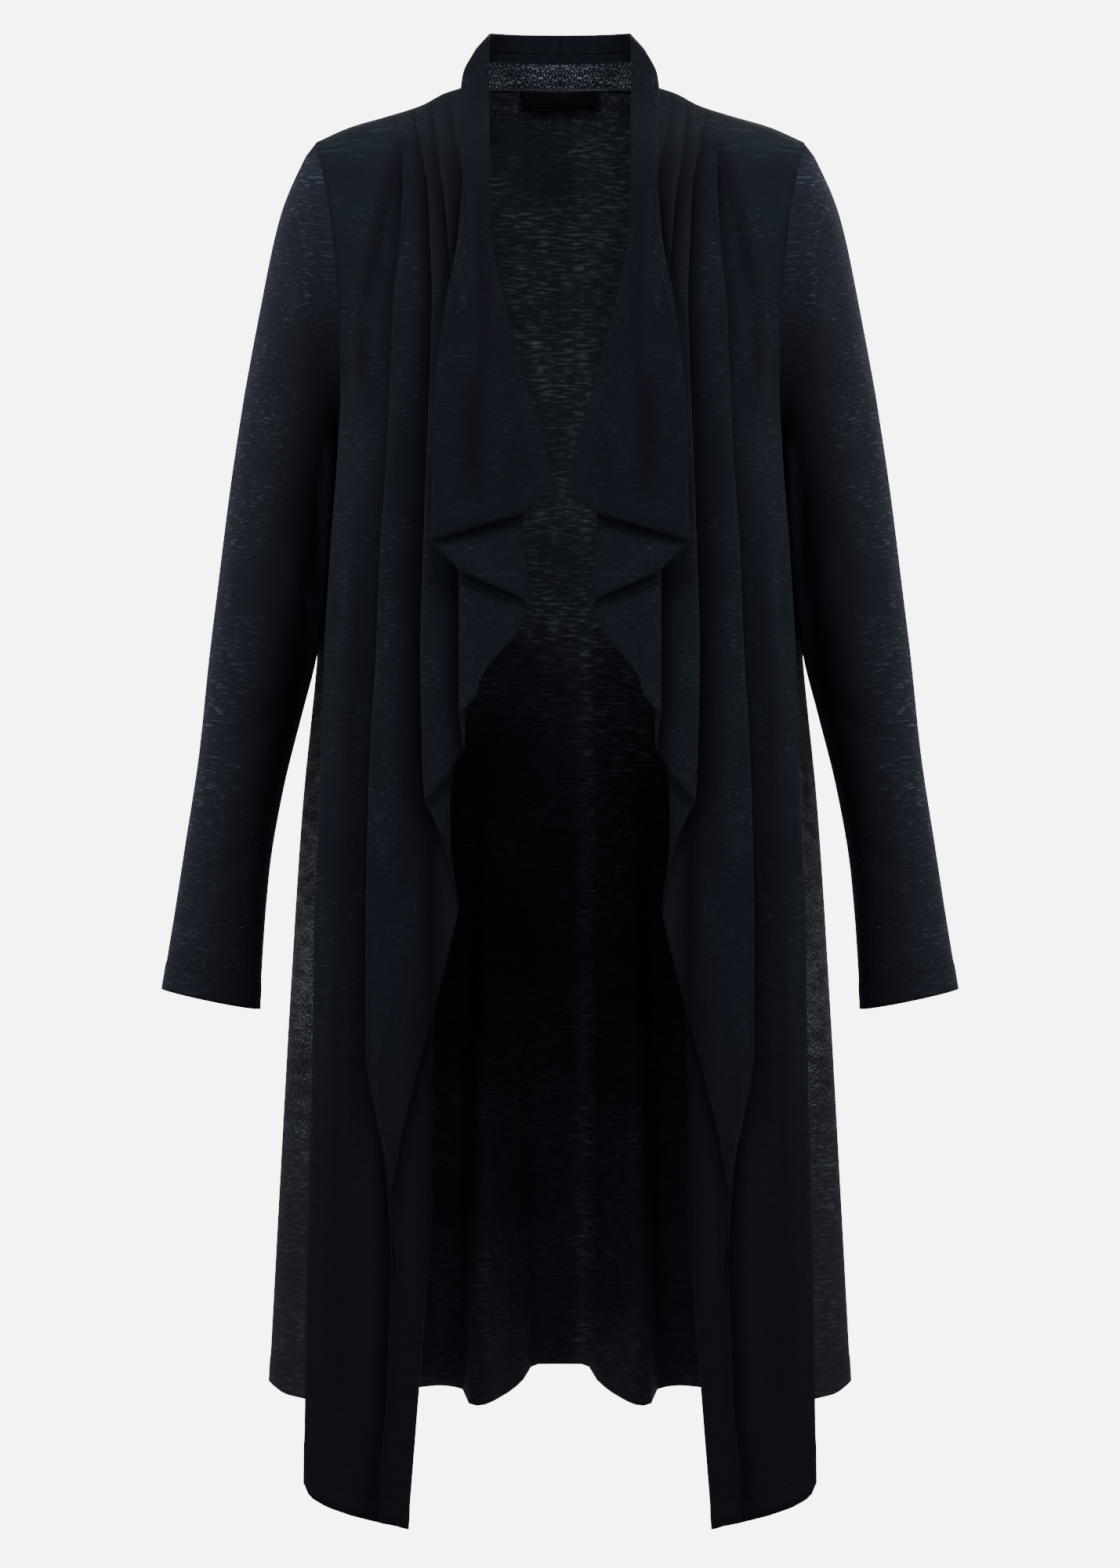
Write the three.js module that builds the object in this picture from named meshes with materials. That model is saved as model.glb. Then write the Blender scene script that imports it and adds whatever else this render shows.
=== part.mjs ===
// Waterfall cardigan in fine slub jersey, worn form with no wearer. Millimetres, +Z up, front faces -Y.
// Origin: midway between the two points where the shoulder seams meet the neck.
// Every table gives one half; "out" is the distance from the centre plane, "deep" is Y and "up" is Z.
import * as THREE from 'three';

const clothThickness = 1.2;
const seamGap = 0.7;
const clothColour = 0x10131c;
const labelColour = 0x0a0b10;

// Shoulder seam from the neck point to the sleeve head
const shoulderSeam = [
  { out: 69, up: 0 },
  { out: 81, up: -4 },
  { out: 96, up: -12 },
  { out: 121, up: -20 },
  { out: 145, up: -27 },
  { out: 170, up: -38 },
];

// Armhole seam from the sleeve head down to the underarm, front half and back half
const armholeFront = [
  { out: 170, deep: 0, up: -38 },
  { out: 162, deep: -33, up: -70 },
  { out: 155, deep: -54, up: -112 },
  { out: 151, deep: -62, up: -158 },
  { out: 150, deep: -58, up: -205 },
  { out: 150, deep: -32, up: -248 },
  { out: 150, deep: 5, up: -264 },
];
const armholeBack = [
  { out: 170, deep: 0, up: -38 },
  { out: 163, deep: 36, up: -70 },
  { out: 157, deep: 61, up: -112 },
  { out: 152, deep: 72, up: -158 },
  { out: 150, deep: 69, up: -205 },
  { out: 150, deep: 40, up: -248 },
  { out: 150, deep: 5, up: -264 },
];

// Back neck seam and the top edge of the stand collar, from centre back to the shoulder
const neckHalfWidth = 69;
const neckDepth = 62;
const neckRise = 9;
const collarTopBack = { deep: 59, up: 47 };
const collarInset = 1.8;
const collarSection = [
  { share: 0, out: 69, deep: 0, up: 0 },
  { share: 0.3, out: 67.5, deep: 0, up: 10 },
  { share: 0.6, out: 62, deep: -1, up: 20 },
  { share: 0.8, out: 56, deep: -2, up: 26 },
  { share: 1, out: 49.5, deep: -3, up: 29 },
];

// Front hang: the panel folds back and forth from the side to its free edge. Folds are numbered
// from the side: fold1 turns at the inside, fold2 at the outside, and so on up to the roll line.
const frontHang = [
  { up: 30, side: 150, corner: 150, fold1: 115, fold2: 109, fold3: 101, fold4: 95, fold5: 88, fold6: 82,
    fold7: 76, roll: 69, edge: 49.5 },
  { up: 0, side: 150, corner: 150, fold1: 115, fold2: 109, fold3: 101, fold4: 95, fold5: 88, fold6: 82,
    fold7: 76, roll: 69, edge: 49 },
  { up: -60, side: 150, corner: 150, fold1: 106, fold2: 107, fold3: 93, fold4: 91, fold5: 82, fold6: 80,
    fold7: 68, roll: 66, edge: 48 },
  { up: -110, side: 150, corner: 150, fold1: 92, fold2: 108, fold3: 78, fold4: 88, fold5: 74, fold6: 76,
    fold7: 56, roll: 68, edge: 47 },
  { up: -160, side: 150, corner: 149, fold1: 80, fold2: 112, fold3: 68, fold4: 86, fold5: 68, fold6: 72,
    fold7: 45, roll: 76, edge: 37 },
  { up: -210, side: 150, corner: 148, fold1: 72, fold2: 114, fold3: 62, fold4: 87, fold5: 65, fold6: 69,
    fold7: 35, roll: 82, edge: 25 },
  { up: -264, side: 150, corner: 151, fold1: 67, fold2: 116, fold3: 60, fold4: 89, fold5: 64, fold6: 68,
    fold7: 27, roll: 85, edge: 9 },
  { up: -320, side: 153, corner: 155, fold1: 68, fold2: 120, fold3: 62, fold4: 91, fold5: 63, fold6: 67,
    fold7: 24, roll: 85, edge: 1 },
  { up: -392, side: 158, corner: 159, fold1: 71, fold2: 123, fold3: 66, fold4: 93, fold5: 63, fold6: 67,
    fold7: 20, roll: 85, edge: 1 },
  { up: -460, side: 160, corner: 161, fold1: 74, fold2: 127, fold3: 71, fold4: 92, fold5: 64, fold6: 66,
    fold7: 20, roll: 85, edge: 1 },
  { up: -520, side: 162, corner: 163, fold1: 78, fold2: 129, fold3: 74, fold4: 88, fold5: 64, fold6: 66,
    fold7: 20, roll: 85, edge: 1 },
  { up: -580, side: 164, corner: 166, fold1: 81, fold2: 130, fold3: 67, fold4: 86, fold5: 64, fold6: 66,
    fold7: 20, roll: 85, edge: 1 },
  { up: -660, side: 165, corner: 167, fold1: 86, fold2: 130, fold3: 64, fold4: 86, fold5: 64, fold6: 66,
    fold7: 20, roll: 85, edge: 1 },
  { up: -760, side: 166, corner: 169, fold1: 86, fold2: 114, fold3: 64, fold4: 86, fold5: 64, fold6: 66,
    fold7: 20, roll: 85, edge: 1 },
  { up: -840, side: 167, corner: 171, fold1: 91, fold2: 114, fold3: 64, fold4: 86, fold5: 64, fold6: 66,
    fold7: 20, roll: 85, edge: 1 },
  { up: -984, side: 168, corner: 173, fold1: 102, fold2: 132, fold3: 64, fold4: 86, fold5: 64, fold6: 66,
    fold7: 20, roll: 85, edge: 1 },
];

// Depth of the front: the panel's own plane, how far the corner lies behind it, the step from one
// fold to the next and the place of the side seam
const frontDepth = [
  { up: 30, panel: 0, cornerBack: 0, step: 0.4, sideDeep: 5 },
  { up: 0, panel: -8, cornerBack: 2, step: 1.0, sideDeep: 5 },
  { up: -60, panel: -56, cornerBack: 16, step: 1.9, sideDeep: 5 },
  { up: -110, panel: -76, cornerBack: 24, step: 2.9, sideDeep: 5 },
  { up: -160, panel: -88, cornerBack: 26, step: 3.8, sideDeep: 5 },
  { up: -210, panel: -95, cornerBack: 30, step: 4.6, sideDeep: 5 },
  { up: -264, panel: -99, cornerBack: 28, step: 5.2, sideDeep: 5 },
  { up: -320, panel: -100, cornerBack: 20, step: 5.8, sideDeep: 3 },
  { up: -460, panel: -98, cornerBack: 14, step: 6.8, sideDeep: -2 },
  { up: -660, panel: -98, cornerBack: 11, step: 7.6, sideDeep: -6 },
  { up: -984, panel: -102, cornerBack: 10, step: 8.4, sideDeep: -10 },
];

// Lower boundary of each layer between two folds: the hem of the first, then the free edge that
// climbs from fold to fold up to the lapel's corner
const frontLayers = [
  { from: 'corner', to: 'fold1', columns: 7, edge: [
    { out: 173, up: -955 }, { out: 166, up: -966 }, { out: 156, up: -971 }, { out: 140, up: -976 },
    { out: 119, up: -981 }, { out: 102, up: -984 }] },
  { from: 'fold1', to: 'fold2', columns: 6, edge: [
    { out: 102, up: -984 }, { out: 122, up: -977 }, { out: 119, up: -929 }, { out: 115, up: -882 },
    { out: 111, up: -840 }, { out: 112, up: -800 }, { out: 113, up: -761 }] },
  { from: 'fold2', to: 'fold3', columns: 6, edge: [
    { out: 113, up: -761 }, { out: 107, up: -724 }, { out: 99, up: -692 }, { out: 89, up: -654 },
    { out: 82, up: -627 }, { out: 74, up: -594 }, { out: 66, up: -567 }] },
  { from: 'fold3', to: 'fold4', columns: 4, edge: [
    { out: 66, up: -567 }, { out: 75, up: -530 }, { out: 87, up: -496 }] },
  { from: 'fold4', to: 'fold5', columns: 4, edge: [
    { out: 87, up: -496 }, { out: 73, up: -476 }, { out: 64, up: -460 }] },
  { from: 'fold5', to: 'fold6', columns: 2, edge: [
    { out: 64, up: -460 }, { out: 66, up: -438 }] },
  { from: 'fold6', to: 'fold7', columns: 5, edge: [
    { out: 66, up: -438 }, { out: 56, up: -426 }, { out: 52, up: -412 }, { out: 42, up: -399 },
    { out: 29, up: -385 }, { out: 21, up: -368 }] },
  { from: 'fold7', to: 'roll', columns: 5, edge: [
    { out: 21, up: -368 }, { out: 24, up: -361 }, { out: 66, up: -343 }, { out: 85, up: -323 }] },
  { from: 'roll', to: 'edge', columns: 6, edge: [
    { out: 85, up: -323 }, { out: 66, up: -317 }, { out: 22, up: -304 }, { out: 13, up: -296 },
    { out: 1, up: -294 }] },
];
const sideReturnColumns = 4;
const sideSeamHem = -911;
const frontRows = 17;
const collarRows = 7;

// Back by height: side seam, the bulge beside it, the rounded corner, the blade and centre back
const backSections = [
  { up: 12, sideOut: 150, sideDeep: 5, bulgeOut: 151, bulgeDeep: 30, cornerOut: 130, cornerDeep: 60,
    bladeOut: 70, bladeDeep: 66, centreDeep: 62 },
  { up: -40, sideOut: 150, sideDeep: 5, bulgeOut: 151, bulgeDeep: 36, cornerOut: 132, cornerDeep: 70,
    bladeOut: 72, bladeDeep: 86, centreDeep: 84 },
  { up: -110, sideOut: 150, sideDeep: 5, bulgeOut: 152, bulgeDeep: 44, cornerOut: 136, cornerDeep: 84,
    bladeOut: 74, bladeDeep: 103, centreDeep: 101 },
  { up: -180, sideOut: 150, sideDeep: 5, bulgeOut: 151, bulgeDeep: 46, cornerOut: 136, cornerDeep: 86,
    bladeOut: 74, bladeDeep: 108, centreDeep: 106 },
  { up: -264, sideOut: 150, sideDeep: 5, bulgeOut: 150, bulgeDeep: 42, cornerOut: 135, cornerDeep: 80,
    bladeOut: 74, bladeDeep: 104, centreDeep: 103 },
  { up: -330, sideOut: 153, sideDeep: 3, bulgeOut: 157, bulgeDeep: 38, cornerOut: 140, cornerDeep: 76,
    bladeOut: 76, bladeDeep: 97, centreDeep: 95 },
  { up: -400, sideOut: 158, sideDeep: 1, bulgeOut: 171, bulgeDeep: 36, cornerOut: 150, cornerDeep: 74,
    bladeOut: 80, bladeDeep: 93, centreDeep: 90 },
  { up: -500, sideOut: 161, sideDeep: -3, bulgeOut: 181, bulgeDeep: 36, cornerOut: 160, cornerDeep: 80,
    bladeOut: 84, bladeDeep: 102, centreDeep: 101 },
  { up: -620, sideOut: 164, sideDeep: -5, bulgeOut: 189, bulgeDeep: 38, cornerOut: 168, cornerDeep: 86,
    bladeOut: 88, bladeDeep: 109, centreDeep: 111 },
  { up: -760, sideOut: 166, sideDeep: -7, bulgeOut: 197, bulgeDeep: 40, cornerOut: 176, cornerDeep: 88,
    bladeOut: 92, bladeDeep: 108, centreDeep: 114 },
  { up: -925, sideOut: 168, sideDeep: -10, bulgeOut: 206, bulgeDeep: 42, cornerOut: 184, cornerDeep: 88,
    bladeOut: 96, bladeDeep: 104, centreDeep: 116 },
];

// Back folds from centre back outwards: how far forward the cloth swings at the hem and the hem's height
const backHem = [
  { out: 0, forward: 0, up: -903 },
  { out: 20, forward: 1, up: -903 },
  { out: 24, forward: 14, up: -909 },
  { out: 40, forward: 34, up: -920 },
  { out: 58, forward: 52, up: -925 },
  { out: 66, forward: 40, up: -924 },
  { out: 70, forward: 14, up: -918 },
  { out: 88, forward: 8, up: -916 },
  { out: 104, forward: 16, up: -916 },
  { out: 126, forward: 6, up: -914 },
  { out: 150, forward: 0, up: -912 },
  { out: 210, forward: 0, up: -910 },
];
const backFoldTop = -430;
const backFoldEase = 1.2;
const backColumns = 32;
const backRows = 15;

// Sleeve rings from the armhole to the cuff: outer and inner ends, half depth and middle depth
const sleeveRings = [
  { outerOut: 186, outerUp: -58, innerOut: 154, innerUp: -270, halfDeep: 68, midDeep: 6 },
  { outerOut: 201, outerUp: -100, innerOut: 156, innerUp: -282, halfDeep: 66, midDeep: 6 },
  { outerOut: 211, outerUp: -160, innerOut: 158, innerUp: -302, halfDeep: 62, midDeep: 6 },
  { outerOut: 220, outerUp: -215, innerOut: 160, innerUp: -330, halfDeep: 57, midDeep: 6 },
  { outerOut: 229, outerUp: -275, innerOut: 164, innerUp: -362, halfDeep: 52, midDeep: 5 },
  { outerOut: 237, outerUp: -340, innerOut: 170, innerUp: -398, halfDeep: 47, midDeep: 2 },
  { outerOut: 244, outerUp: -400, innerOut: 180, innerUp: -438, halfDeep: 43, midDeep: -2 },
  { outerOut: 250, outerUp: -462, innerOut: 192, innerUp: -488, halfDeep: 39, midDeep: -8 },
  { outerOut: 259, outerUp: -525, innerOut: 201, innerUp: -543, halfDeep: 36, midDeep: -15 },
  { outerOut: 267, outerUp: -580, innerOut: 205, innerUp: -596, halfDeep: 33, midDeep: -22 },
  { outerOut: 274, outerUp: -625, innerOut: 207, innerUp: -639, halfDeep: 31, midDeep: -28 },
];
const sleeveSides = 28;
const sleeveCapBlend = [1, 0.55, 0.22, 0.06];
const underarmClearance = 2.4;
const sleeveRows = sleeveRings.map((row, i) => ({ ...row, ring: i }));

// Bare neck label on the inside of the back, just under the neck seam
const label = { left: -27, right: 27, drop: 2, height: 11, thickness: 0.8, columns: 6, rows: 2 };

const mix = (a, b, share) => a + (b - a) * share;

// Smooth value of one column of a table, read at a place along its key column
function read(rows, key, place, column) {
  const rising = rows[rows.length - 1][key] > rows[0][key];
  let i = 0;
  while (i < rows.length - 2 && (rising ? place > rows[i + 1][key] : place < rows[i + 1][key])) {
    i += 1;
  }
  const start = rows[i];
  const end = rows[i + 1];
  const span = end[key] - start[key];
  const share = THREE.MathUtils.clamp((place - start[key]) / span, 0, 1);
  const slope = (a, b) => (b[column] - a[column]) / (b[key] - a[key]);
  const own = slope(start, end);
  const gentle = (a, b) => (a * b <= 0 ? 0 : (2 * a * b) / (a + b));
  const startSlope = i > 0 ? gentle(slope(rows[i - 1], start), own) : own;
  const endSlope = i < rows.length - 2 ? gentle(own, slope(end, rows[i + 2])) : own;
  const rest = 1 - share;
  return start[column] * (1 + 2 * share) * rest * rest + end[column] * (3 - 2 * share) * share * share
    + startSlope * span * share * rest * rest - endSlope * span * share * share * rest;
}

// Point on a smooth curve through rows of out, deep and up
function curvePoint(rows, share) {
  const points = rows.map((row) => new THREE.Vector3(row.out, row.deep, row.up));
  return new THREE.CatmullRomCurve3(points, false, 'centripetal').getPoint(share);
}

// Closed wall round a surface given by its points and four-sided faces
function wall(points, faces, thickness) {
  const normals = points.map(() => new THREE.Vector3());
  faces.forEach(([a, b, c, d]) => {
    const across = points[c].clone().sub(points[a]);
    const along = points[d].clone().sub(points[b]);
    const normal = across.cross(along).normalize();
    [a, b, c, d].forEach((corner) => normals[corner].add(normal));
  });
  const vertices = [];
  [0.5, -0.5].forEach((side) => {
    points.forEach((point, i) => {
      const moved = point.clone().addScaledVector(normals[i].normalize(), side * thickness);
      vertices.push(moved.x, moved.y, moved.z);
    });
  });
  const count = points.length;
  const triangles = [];
  const open = new Map();
  faces.forEach(([a, b, c, d]) => {
    triangles.push(a, b, c, a, c, d);
    triangles.push(a + count, c + count, b + count, a + count, d + count, c + count);
    [[a, b], [b, c], [c, d], [d, a]].forEach(([from, to]) => {
      if (open.has(`${to} ${from}`)) {
        open.delete(`${to} ${from}`);
      } else {
        open.set(`${from} ${to}`, [from, to]);
      }
    });
  });
  open.forEach(([from, to]) => {
    triangles.push(from, from + count, to + count, from, to + count, to);
  });
  const geometry = new THREE.BufferGeometry();
  geometry.setAttribute('position', new THREE.Float32BufferAttribute(vertices, 3));
  geometry.setIndex(triangles);
  geometry.computeVertexNormals();
  return geometry;
}

// Faces of a grid that is stored column by column
function gridFaces(columns, rows, first = 0) {
  const faces = [];
  for (let i = 0; i < columns - 1; i += 1) {
    for (let j = 0; j < rows - 1; j += 1) {
      const corner = first + i * rows + j;
      faces.push([corner, corner + 1, corner + rows + 1, corner + rows]);
    }
  }
  return faces;
}

// Surface points and faces of one half, turned over for the other half
function mirrored(points, faces, side) {
  if (side > 0) {
    return [points, faces];
  }
  const flipped = points.map((point) => new THREE.Vector3(-point.x, point.y, point.z));
  return [flipped, faces.map(([a, b, c, d]) => [d, c, b, a])];
}

function clothMesh(name, geometry, colour = clothColour) {
  const material = new THREE.MeshStandardMaterial({ color: colour, roughness: 0.92, metalness: 0 });
  const mesh = new THREE.Mesh(geometry, material);
  mesh.name = name;
  return mesh;
}

// Rows are closer together near the top, where the shoulder turns over
const rowEase = 1.5;
const rowShare = (row, rows) => (row / (rows - 1)) ** rowEase;

// How much of the shift to the seam above is left at a drop below it: a rounded shoulder
function shoulderRound(drop, reach) {
  const left = 1 - Math.min(drop / reach, 1);
  return 1 - Math.sqrt(1 - left * left);
}
const frontShoulderReach = 110;
const backShoulderReach = 90;

// Where the front corner meets the armhole, counted from the sleeve head, and the share of the first
// layer's columns that hang from the armhole
const armholeCornerShare = 0.62;
const headShare = 0.5;

// Shape of a fold: how far the cloth swings toward the viewer across a layer, straight and curled
const foldSwing = { straight: 0.12, curled: 0.38, half: 0.5 };
const sideReturn = { belly: 2, ease: 0.85 };

// Front columns in order from the side seam to the free edge
function frontColumns() {
  const columns = [];
  for (let i = 0; i < sideReturnColumns; i += 1) {
    columns.push({ layer: -1, share: i / sideReturnColumns });
  }
  frontLayers.forEach((layer, index) => {
    for (let i = 0; i < layer.columns; i += 1) {
      columns.push({ layer: index, share: i / layer.columns });
    }
  });
  columns.push({ layer: frontLayers.length - 1, share: 1 });
  return columns;
}

// Across a layer the cloth turns gently out of one fold and into the next
function acrossLayer(index, share) {
  if (index === 0) {
    return Math.sin((share * Math.PI) / 2);
  }
  if (index === frontLayers.length - 1) {
    return 1 - Math.cos((share * Math.PI) / 2);
  }
  return (1 - Math.cos(share * Math.PI)) / 2;
}

function towardViewer(index, share) {
  if (index === 0) {
    return foldSwing.half * share ** 5;
  }
  if (index === frontLayers.length - 1) {
    return index - foldSwing.half * (1 - share) ** 3;
  }
  const place = 2 * share - 1;
  return index + foldSwing.straight * place + foldSwing.curled * place ** 3;
}

// Point of the hanging front at a height
function frontHangPoint(column, up) {
  const hang = (name) => read(frontHang, 'up', up, name);
  const depth = (name) => read(frontDepth, 'up', up, name);
  const cornerDeep = depth('panel') + depth('cornerBack');
  if (column.layer < 0) {
    const belly = sideReturn.belly * Math.sin(column.share * Math.PI);
    return new THREE.Vector3(
      mix(hang('side'), hang('corner'), column.share) + belly,
      mix(depth('sideDeep') - seamGap, cornerDeep, column.share ** sideReturn.ease),
      up,
    );
  }
  const layer = frontLayers[column.layer];
  const across = acrossLayer(column.layer, column.share);
  const out = mix(hang(layer.from), hang(layer.to), across);
  const cornerTurn = column.layer === 0 ? depth('cornerBack') * (1 - across) ** 3 : 0;
  const deep = depth('panel') + cornerTurn - depth('step') * towardViewer(column.layer, column.share);
  return new THREE.Vector3(out, deep, up);
}

// Upper boundary of the front: armhole, shoulder seam and the collar's section over the shoulder
function frontTopPoint(column) {
  if (column.layer < 0) {
    const point = curvePoint(armholeFront, 1 - column.share * (1 - armholeCornerShare));
    return point.setY(point.y - seamGap);
  }
  const layer = frontLayers[column.layer];
  if (layer.to === 'edge') {
    const row = (name) => read(collarSection, 'share', column.share, name);
    return new THREE.Vector3(row('out'), row('deep') - seamGap, row('up'));
  }
  if (column.layer === 0 && column.share < headShare) {
    return curvePoint(armholeFront, armholeCornerShare * (1 - column.share / headShare));
  }
  const sleeveHead = shoulderSeam[shoulderSeam.length - 1].out;
  const top = frontHang[0];
  const out = column.layer === 0
    ? mix(sleeveHead, top.fold1, (column.share - headShare) / (1 - headShare))
    : mix(top[layer.from], top[layer.to], column.share);
  return new THREE.Vector3(out, -seamGap, read(shoulderSeam, 'out', out, 'up'));
}

// Height of the hem or free edge under a column
function frontBottom(column) {
  if (column.layer < 0) {
    const cornerHem = frontLayers[0].edge[0].up;
    return mix(sideSeamHem, cornerHem, column.share);
  }
  const layer = frontLayers[column.layer];
  const last = layer.edge.length - 1;
  const places = layer.edge.map((row, i) => {
    const from = read(frontHang, 'up', row.up, layer.from);
    const to = read(frontHang, 'up', row.up, layer.to);
    const share = (row.out - from) / (to - from);
    return { share: i === 0 ? 0 : i === last ? 1 : share, up: row.up };
  });
  const across = acrossLayer(column.layer, column.share);
  let i = 0;
  while (i < last - 1 && across > places[i + 1].share) {
    i += 1;
  }
  const share = (across - places[i].share) / (places[i + 1].share - places[i].share);
  return mix(places[i].up, places[i + 1].up, share);
}

function frontPoint(column, row, rows) {
  const top = frontTopPoint(column);
  const up = mix(top.z, frontBottom(column), rowShare(row, rows));
  const point = frontHangPoint(column, up);
  const shift = top.clone().sub(frontHangPoint(column, top.z));
  const left = shoulderRound(top.z - up, frontShoulderReach);
  return point.add(new THREE.Vector3(shift.x, shift.y, 0).multiplyScalar(left));
}

// Stand collar from centre back round to the shoulder, grown on to the front
function collarPoint(share, row) {
  const turn = (row / collarRows) * (Math.PI / 2);
  const inward = Math.cos(turn);
  const outward = Math.sin(turn);
  const value = (name) => read(collarSection, 'share', share, name);
  const backDeep = mix(neckDepth - collarInset, collarTopBack.deep, share);
  const backUp = mix(neckRise, collarTopBack.up, share);
  const lift = collarInset * (1 - share) * (1 - outward ** 8);
  return new THREE.Vector3(
    Math.max((value('out') - collarInset * inward) * outward, seamGap / 2),
    value('deep') - seamGap + (backDeep - value('deep')) * inward,
    mix(value('up'), backUp, inward) + lift,
  );
}

function front(side) {
  const columns = frontColumns();
  const points = [];
  columns.forEach((column) => {
    for (let row = 0; row < frontRows; row += 1) {
      points.push(frontPoint(column, row, frontRows));
    }
  });
  const faces = gridFaces(columns.length, frontRows);
  const lapel = columns.filter((column) => column.layer === frontLayers.length - 1);
  const firstLapel = columns.length - lapel.length;
  const collarStart = points.length;
  lapel.forEach((column) => {
    for (let row = 0; row < collarRows; row += 1) {
      points.push(collarPoint(column.share, row));
    }
  });
  faces.push(...gridFaces(lapel.length, collarRows, collarStart));
  for (let i = 0; i < lapel.length - 1; i += 1) {
    const end = collarStart + i * collarRows + collarRows - 1;
    const start = (firstLapel + i) * frontRows;
    faces.push([end, start, start + frontRows, end + collarRows]);
  }
  const [sidePoints, sideFaces] = mirrored(points, faces, side);
  return wall(sidePoints, sideFaces, clothThickness);
}

// Place round the back of a height, from the side seam (0) to centre back (1)
function backRound(up, share) {
  const value = (name) => read(backSections, 'up', up, name);
  const points = [
    new THREE.Vector3(value('sideOut'), value('sideDeep') + seamGap, 0),
    new THREE.Vector3(value('bulgeOut'), value('bulgeDeep'), 0),
    new THREE.Vector3(value('cornerOut'), value('cornerDeep'), 0),
    new THREE.Vector3(value('bladeOut'), value('bladeDeep'), 0),
    new THREE.Vector3(0, value('centreDeep'), 0),
    new THREE.Vector3(-value('bladeOut'), value('bladeDeep'), 0),
  ];
  const centreShare = 4 / 5;
  return new THREE.CatmullRomCurve3(points, false, 'centripetal').getPoint(share * centreShare).setZ(up);
}

// Shares of the back's half width that hang from the armhole, the shoulder seam and the neck
const backArmholeEnd = 0.4;
const backShoulderEnd = 0.72;

function backTopPoint(share) {
  if (share < backArmholeEnd) {
    const point = curvePoint(armholeBack, 1 - share / backArmholeEnd);
    return point.setY(point.y + seamGap);
  }
  const sleeveHead = shoulderSeam[shoulderSeam.length - 1].out;
  if (share < backShoulderEnd) {
    const place = (share - backArmholeEnd) / (backShoulderEnd - backArmholeEnd);
    const out = mix(sleeveHead, neckHalfWidth, place);
    return new THREE.Vector3(out, seamGap, read(shoulderSeam, 'out', out, 'up'));
  }
  const turn = ((1 - share) / (1 - backShoulderEnd)) * (Math.PI / 2);
  return new THREE.Vector3(
    neckHalfWidth * Math.sin(turn),
    seamGap + neckDepth * Math.cos(turn),
    neckRise * Math.cos(turn),
  );
}

function backPoint(share, row, rows) {
  const top = backTopPoint(share);
  const hemPlace = backRound(backSections[backSections.length - 1].up, share).x;
  const hemUp = read(backHem, 'out', hemPlace, 'up');
  const up = mix(top.z, hemUp, rowShare(row, rows));
  const point = backRound(up, share);
  const shift = top.clone().sub(backRound(top.z, share));
  const left = shoulderRound(top.z - up, backShoulderReach);
  point.add(new THREE.Vector3(shift.x, shift.y, 0).multiplyScalar(left));
  const fall = Math.min(Math.max((backFoldTop - up) / (backFoldTop - hemUp), 0), 1);
  point.y -= read(backHem, 'out', hemPlace, 'forward') * fall ** backFoldEase;
  return point;
}

function back() {
  const points = [];
  for (let i = 0; i <= 2 * backColumns; i += 1) {
    const share = 1 - Math.abs(i / backColumns - 1);
    const side = i < backColumns ? -1 : 1;
    for (let row = 0; row < backRows; row += 1) {
      const point = backPoint(share, row, backRows);
      points.push(point.setX(point.x * side));
    }
  }
  return wall(points, gridFaces(2 * backColumns + 1, backRows), clothThickness);
}

// Sleeve ring point; turn 0 is the outer end, a quarter is the front and a half is the inner end
function sleeveRingPoint(ring, turn) {
  const value = (name) => read(sleeveRows, 'ring', ring, name);
  const angle = turn * 2 * Math.PI;
  const outward = (1 + Math.cos(angle)) / 2;
  return new THREE.Vector3(
    mix(value('innerOut'), value('outerOut'), outward),
    value('midDeep') - value('halfDeep') * Math.sin(angle),
    mix(value('innerUp'), value('outerUp'), outward),
  );
}

function armholePoint(turn) {
  const point = turn < 0.5
    ? curvePoint(armholeFront, turn * 2)
    : curvePoint(armholeBack, (1 - turn) * 2);
  const lowness = (1 - Math.cos(turn * 2 * Math.PI)) / 2;
  point.x += seamGap * 2 + underarmClearance * lowness ** 4;
  return point;
}

function sleeve(side) {
  const rings = sleeveRings.length + 1;
  const points = [];
  for (let i = 0; i < sleeveSides; i += 1) {
    const turn = i / sleeveSides;
    for (let ring = 0; ring < rings; ring += 1) {
      const blend = sleeveCapBlend[ring] ?? 0;
      const point = sleeveRingPoint(Math.max(ring - 1, 0), turn);
      points.push(point.lerp(armholePoint(turn), blend));
    }
  }
  const faces = gridFaces(sleeveSides, rings);
  const lastColumn = (sleeveSides - 1) * rings;
  for (let ring = 0; ring < rings - 1; ring += 1) {
    const corner = lastColumn + ring;
    faces.push([corner, corner + 1, ring + 1, ring]);
  }
  const [sidePoints, sideFaces] = mirrored(points, faces, side);
  return wall(sidePoints, sideFaces, clothThickness);
}

function neckLabel() {
  const points = [];
  const clearance = clothThickness / 2 + label.thickness / 2 + seamGap;
  for (let i = 0; i <= label.columns; i += 1) {
    const out = mix(label.left, label.right, i / label.columns);
    for (let j = 0; j <= label.rows; j += 1) {
      const arc = Math.sqrt(1 - (out / neckHalfWidth) ** 2);
      const drop = label.drop + (label.height * j) / label.rows;
      const lean = shoulderRound(drop, backShoulderReach);
      const up = neckRise * arc - drop;
      const deep = mix(backRound(up, 1).y, neckDepth * arc, lean);
      points.push(new THREE.Vector3(out, deep - clearance, up));
    }
  }
  return wall(points, gridFaces(label.columns + 1, label.rows + 1), label.thickness);
}

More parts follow.
